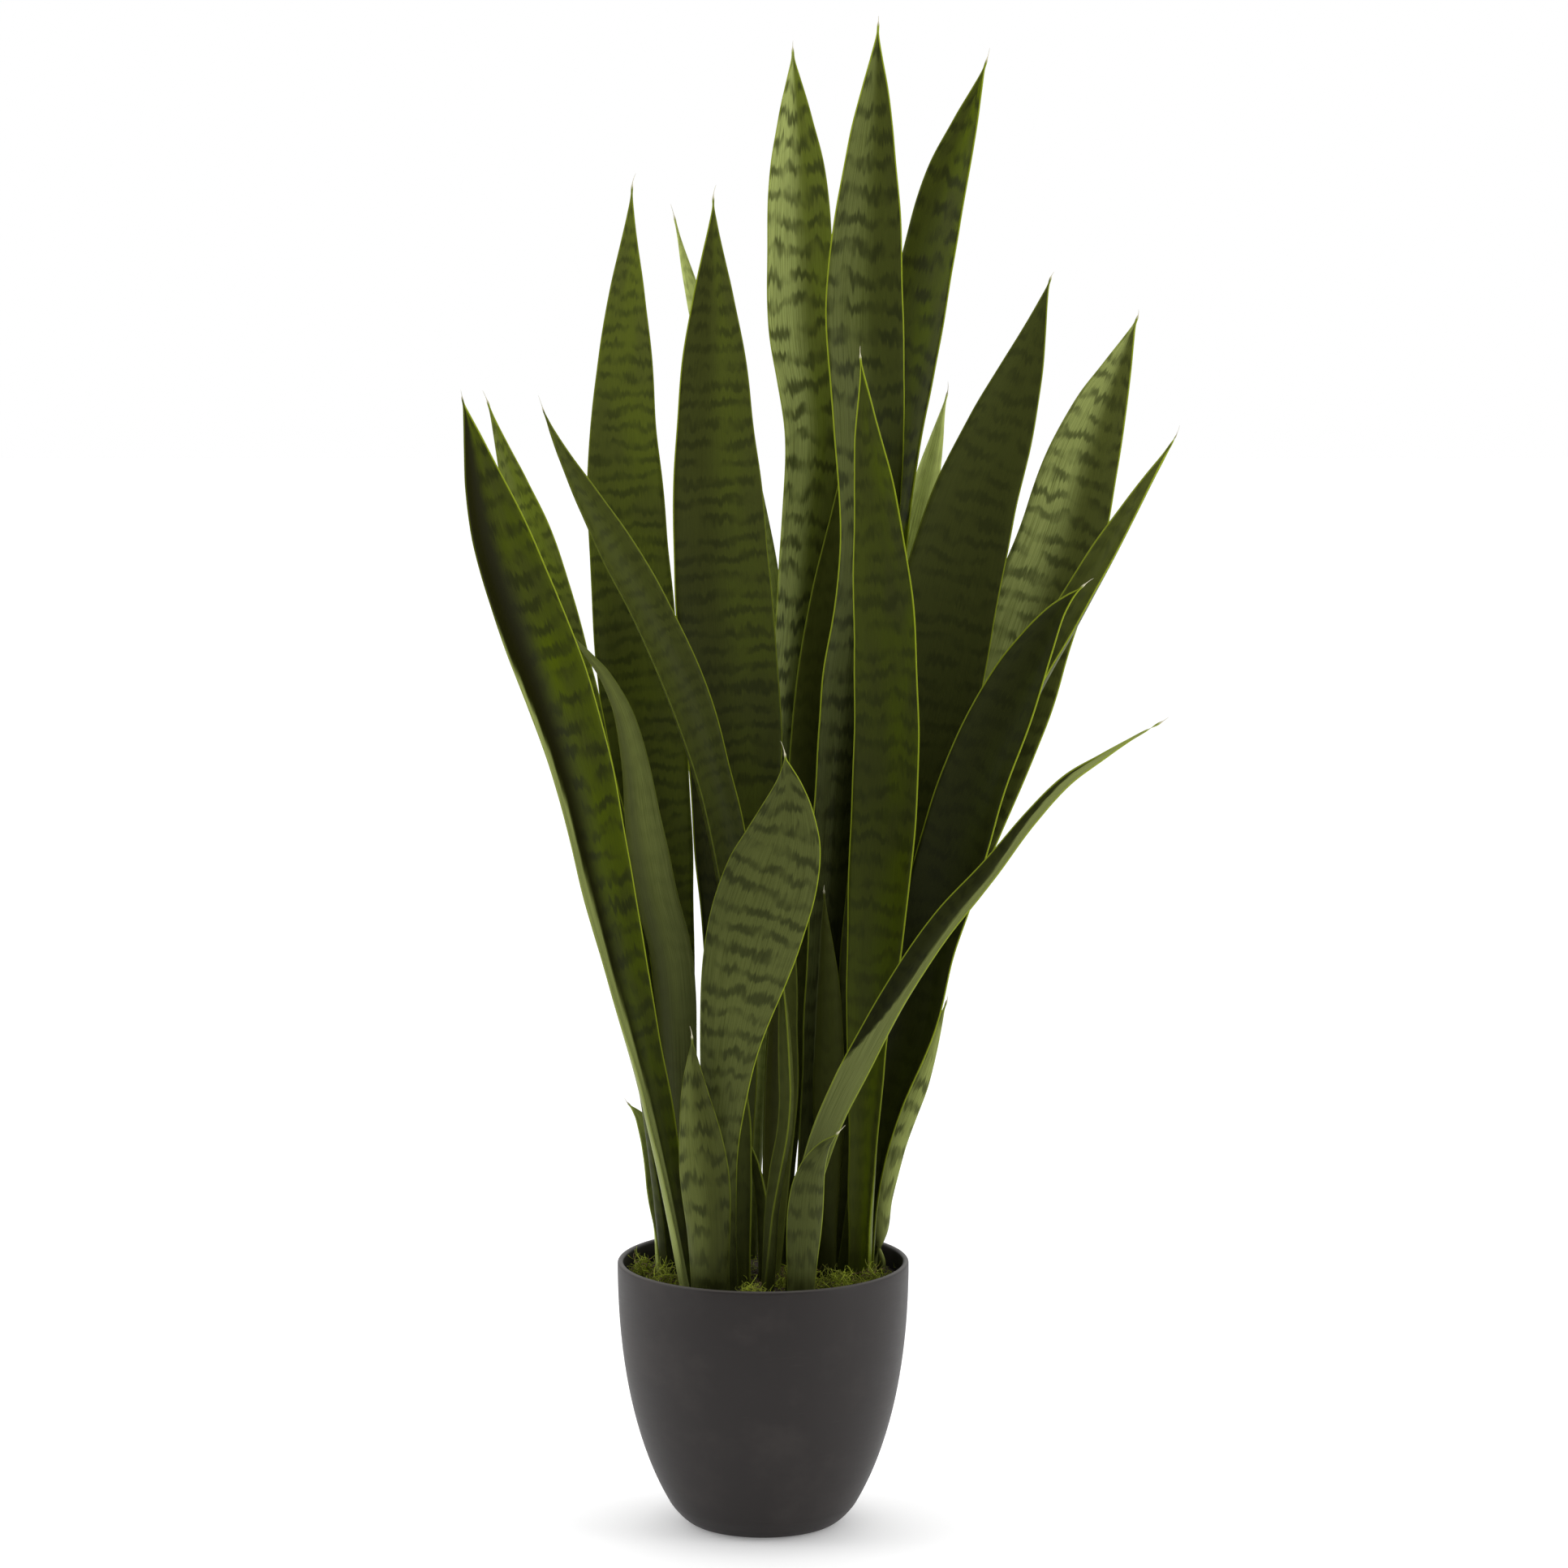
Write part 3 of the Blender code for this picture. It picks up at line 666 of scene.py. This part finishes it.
# from the middle of its underside, up inside the planter's wall and back over its lumpy top
def makeMix(outline):
    gap = mixLook["gap"]
    rings = mixLook["rings"]
    rim = max(range(len(outline)), key=lambda index: outline[index].z)
    wall = [point - Vector((gap, 0, 0)) for point in reversed(outline[rim:])
            if point.z < mixTop - 1 * mm and point.x > 1 * mm]
    points = [Vector((0, 0, wall[0].z + gap))] + [point + up * gap for point in wall]
    points += [Vector((mixRadius * (1 - ring / rings), 0, mixTop)) for ring in range(rings + 1)]
    shape = turned(points, mixLook["steps"])
    for vert in shape.verts:
        if vert.co.z > mixTop - 0.1 * mm:
            big = noise.noise(vert.co * mixLook["bigLumps"])
            small = noise.noise(vert.co * mixLook["smallLumps"] + up * 3)
            vert.co.z += mixLook["lumps"] * (0.6 * big + 0.6 * small)
    finishedPiece("potting_mix", shape, mixFinish(), "soil")


makeMix(outline)
print("mix made")


# ---- moss ----

mossLook = {
    "thickness": 0.55 * mm,
    "steps": 6,
    "stepLength": 1.5 * mm,
    "stepRange": (0.7, 1.3),       # shortest and longest step, as shares of that
    "stepTurn": (0.25, 0.75),      # radians that a strand may turn at each step
    "taper": 0.88,                 # its thickness after a step, as a share of what it was
    "tilt": (0.8, 2.3),            # radians from upright that a strand may set out at
    "curls": 10,
    "strandsPerTuft": 460,
    "tuftSize": (0.6, 1.2),        # smallest and largest strand in a tuft
    "tuftSpread": 1.12,            # a tuft's reach, as a share of its solid's
    "tuftRise": 6 * mm,            # how far loose strands stand above a tuft
    "tuftFill": (0.15, 1.0),       # how low and how high a strand lies in its tuft
    "litter": 1800,
    "litterSize": (0.5, 1.1),
    "litterRise": 3 * mm,
    "sunk": 1 * mm,                # how deep a strand may sink into the mix
    "wallGap": 0.5 * mm,           # clearance to the edge of the mix
    "litterGap": 1 * mm,           # clearance of the spots where the litter is dropped
    "bright": (0.400, 0.480, 0.026, 1),
    "dull": (0.150, 0.165, 0.012, 1),
    "brown": (0.150, 0.095, 0.040, 1),
    "roughness": 0.8,
    "relief": 0.4,
    "reliefDepth": 0.1 * mm,
}


def mossFinish():
    finish = Finish("mossStrands", mossLook["roughness"])
    place = finish.node("TexCoord", output="Object")
    tuft = finish.grain(place, 120.0, 2.0)
    strand = finish.value("strand")
    colour = finish.blend(mossLook["dull"], mossLook["bright"], (tuft * 0.5 + strand * 0.6).rise(0.3, 0.75))
    colour = finish.blend(colour, mossLook["brown"], strand.rise(0.84, 0.9))
    finish.relief(finish.grain(place, 2500.0), mossLook["relief"], mossLook["reliefDepth"])
    return finish.surface(colour)


# one curled strand: a small ring drawn out along a wandering way
def curledStrand(index):
    rng = random.Random(500 + index)
    shape = bmesh.new()
    bmesh.ops.create_circle(shape, cap_ends=True, segments=4, radius=mossLook["thickness"] / 2)
    edges = shape.edges[:]
    taper = [mossLook["taper"]] * 3
    middle = Vector()
    heading = up.copy()
    turning = Vector((rng.uniform(-1, 1), rng.uniform(-1, 1), rng.uniform(-1, 1))).normalized()
    for step in range(mossLook["steps"]):
        made = bmesh.ops.extrude_edge_only(shape, edges=edges)["geom"]
        ring = [item for item in made if isinstance(item, bmesh.types.BMVert)]
        edges = [item for item in made if isinstance(item, bmesh.types.BMEdge)
                 and all(vert in ring for vert in item.verts)]
        turn = Matrix.Rotation(rng.uniform(*mossLook["stepTurn"]), 3, turning)
        turning = (turning + Vector((rng.uniform(-1, 1), rng.uniform(-1, 1), 0)) * 0.5).normalized()
        heading = turn @ heading
        forward = heading * mossLook["stepLength"] * rng.uniform(*mossLook["stepRange"])
        bmesh.ops.translate(shape, verts=ring, vec=forward)
        middle = middle + forward
        bmesh.ops.rotate(shape, verts=ring, cent=middle, matrix=turn)
        bmesh.ops.scale(shape, verts=ring, vec=taper, space=Matrix.Translation(-middle))
    bmesh.ops.holes_fill(shape, edges=shape.edges, sides=4)
    bmesh.ops.recalc_face_normals(shape, faces=shape.faces)
    mesh = bpy.data.meshes.new("curl")
    shape.to_mesh(mesh)
    shape.free()
    return mesh


# a strand at each spot, kept on the mix and off the planter's wall
def scattered(spots, curls, rng):
    shape = bmesh.new()
    strand = shape.verts.layers.float.new("strand")
    widest = mixRadius - mossLook["wallGap"]
    for place, size in spots:
        mesh = rng.choice(curls)
        spin = Matrix.Rotation(rng.uniform(0, math.tau), 4, "Z")
        tilt = Matrix.Rotation(rng.uniform(*mossLook["tilt"]), 4, "X")
        matrix = Matrix.Translation(place) @ spin @ tilt @ Matrix.Scale(size, 4)
        mesh.transform(matrix)
        before = len(shape.verts)
        shape.from_mesh(mesh)
        mesh.transform(matrix.inverted())
        tone = rng.random()
        for vert in shape.verts[before:]:
            vert[strand] = tone
            vert.co.z = max(vert.co.z, mixTop - mossLook["sunk"])
            inward = min(1, widest / max(math.hypot(vert.co.x, vert.co.y), mm))
            vert.co.x *= inward
            vert.co.y *= inward
    return shape


# a spot on a disc and its distance from the middle, spread evenly over the disc
def spotOnDisc(rng, widest):
    angle = rng.uniform(0, math.tau)
    out = math.sqrt(rng.random()) * widest
    return Vector((out * math.cos(angle), out * math.sin(angle), 0)), out


def makeTuft(node, index, curls, material):
    rng = random.Random(700 + index)
    low, high = (Vector(corner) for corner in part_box(node))
    centre = (low + high) / 2
    spots = []
    for strand in range(mossLook["strandsPerTuft"]):
        spot, out = spotOnDisc(rng, mossLook["tuftSpread"])
        spot.x = centre.x + spot.x * (high.x - low.x) / 2
        spot.y = centre.y + spot.y * (high.y - low.y) / 2
        crown = (high.z - mixTop + mossLook["tuftRise"]) * max(0, 1 - out ** 3)
        spot.z = mixTop + crown * rng.uniform(*mossLook["tuftFill"])
        spots.append((spot, rng.uniform(*mossLook["tuftSize"])))
    finishedPiece(node + "_strands", scattered(spots, curls, rng), material, node)


def makeLitter(curls, material):
    rng = random.Random(900)
    spots = []
    for strand in range(mossLook["litter"]):
        spot = spotOnDisc(rng, mixRadius - mossLook["litterGap"])[0]
        spot.z = mixTop + rng.uniform(0, mossLook["litterRise"])
        spots.append((spot, rng.uniform(*mossLook["litterSize"])))
    finishedPiece("moss_litter", scattered(spots, curls, rng), material, None)


strandCurls = [curledStrand(index) for index in range(mossLook["curls"])]
mossMaterial = mossFinish()
mossNodes = [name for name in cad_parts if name.startswith("moss")]
for index, node in enumerate(mossNodes):
    makeTuft(node, index, strandCurls, mossMaterial)
makeLitter(strandCurls, mossMaterial)
print("moss made:", len(mossNodes), "tufts")


# ---- studio ----

studio = {
    "floor": (0.93, 0.93, 0.93, 1),
    "floorSize": 12,
    "floorGlow": 0.2,
    "front": 0.24,                 # light from the viewer's side
    "around": 1.15,                # light from the sides and from behind
    "brighten": (-0.85, 0.05),     # from -1 at the viewer to 1 behind, where it grows from one to the other
    "cameraAt": (0.0134, -3.0, 0.857),
    "aim": (0.0134, 0.0, 0.479),
    "lens": 109.4,
    "lampAim": (0, 0, 0.5),
    # where each lamp stands, its width and height, and its power
    "rightSoftbox": ((1.5, -0.7, 0.9), (0.7, 1.6), 9),
    "leftSoftbox": ((-1.5, -0.3, 0.9), (0.7, 1.6), 7),
    "topSoftbox": ((0.1, 0.3, 2.2), (1.2, 1.2), 8),
}


def layFloor():
    shape = bmesh.new()
    bmesh.ops.create_grid(shape, x_segments=1, y_segments=1, size=studio["floorSize"])
    mesh = bpy.data.meshes.new("floor")
    shape.to_mesh(mesh)
    shape.free()
    floor = bpy.data.objects.new("floor", mesh)
    bpy.context.collection.objects.link(floor)
    finish = Finish("paleFloor", 0.9)
    finish.shader.inputs["Emission Color"].default_value = studio["floor"]
    finish.shader.inputs["Emission Strength"].default_value = studio["floorGlow"]
    mesh.materials.append(finish.surface(studio["floor"]))


# dim from the viewer's side, bright from behind, and plain white to the camera
def lightSurroundings():
    world = bpy.data.worlds.new("studio")
    bpy.context.scene.world = world
    world.use_nodes = True
    sky = Nodes(world.node_tree)
    direction = sky.node("TexCoord", output="Generated")
    behind = sky.node("SeparateXYZ", None, {0: direction}, output=1)
    dark, bright = studio["brighten"]
    levels = {"Value": behind, "From Min": dark, "From Max": bright,
              "To Min": studio["front"], "To Max": studio["around"]}
    light = sky.node("MapRange", {"interpolation_type": "SMOOTHSTEP"}, levels)
    seen = sky.node("LightPath", output="Is Camera Ray")
    background = world.node_tree.nodes["Background"]
    background.inputs["Color"].default_value = (1, 1, 1, 1)
    sky.feed(background.inputs["Strength"], sky.node("Mix", None, {0: seen, 2: light, 3: 1.0}))


def stand(name, data, place, aim):
    thing = bpy.data.objects.new(name, data)
    bpy.context.collection.objects.link(thing)
    thing.location = place
    thing.rotation_euler = (Vector(aim) - Vector(place)).to_track_quat("-Z", "Y").to_euler()
    return thing


def softLight(name):
    place, (width, height), power = studio[name]
    light = bpy.data.lights.new(name, "AREA")
    light.shape = "RECTANGLE"
    light.size = width
    light.size_y = height
    light.energy = power
    stand(name, light, place, studio["lampAim"])


layFloor()
lightSurroundings()
softLight("rightSoftbox")
softLight("leftSoftbox")
softLight("topSoftbox")
camera = bpy.data.cameras.new("camera")
camera.lens = studio["lens"]
camera.sensor_width = 36
bpy.context.scene.camera = stand("camera", camera, studio["cameraAt"], studio["aim"])
bpy.context.scene.view_settings.view_transform = "Standard"
print("studio made")
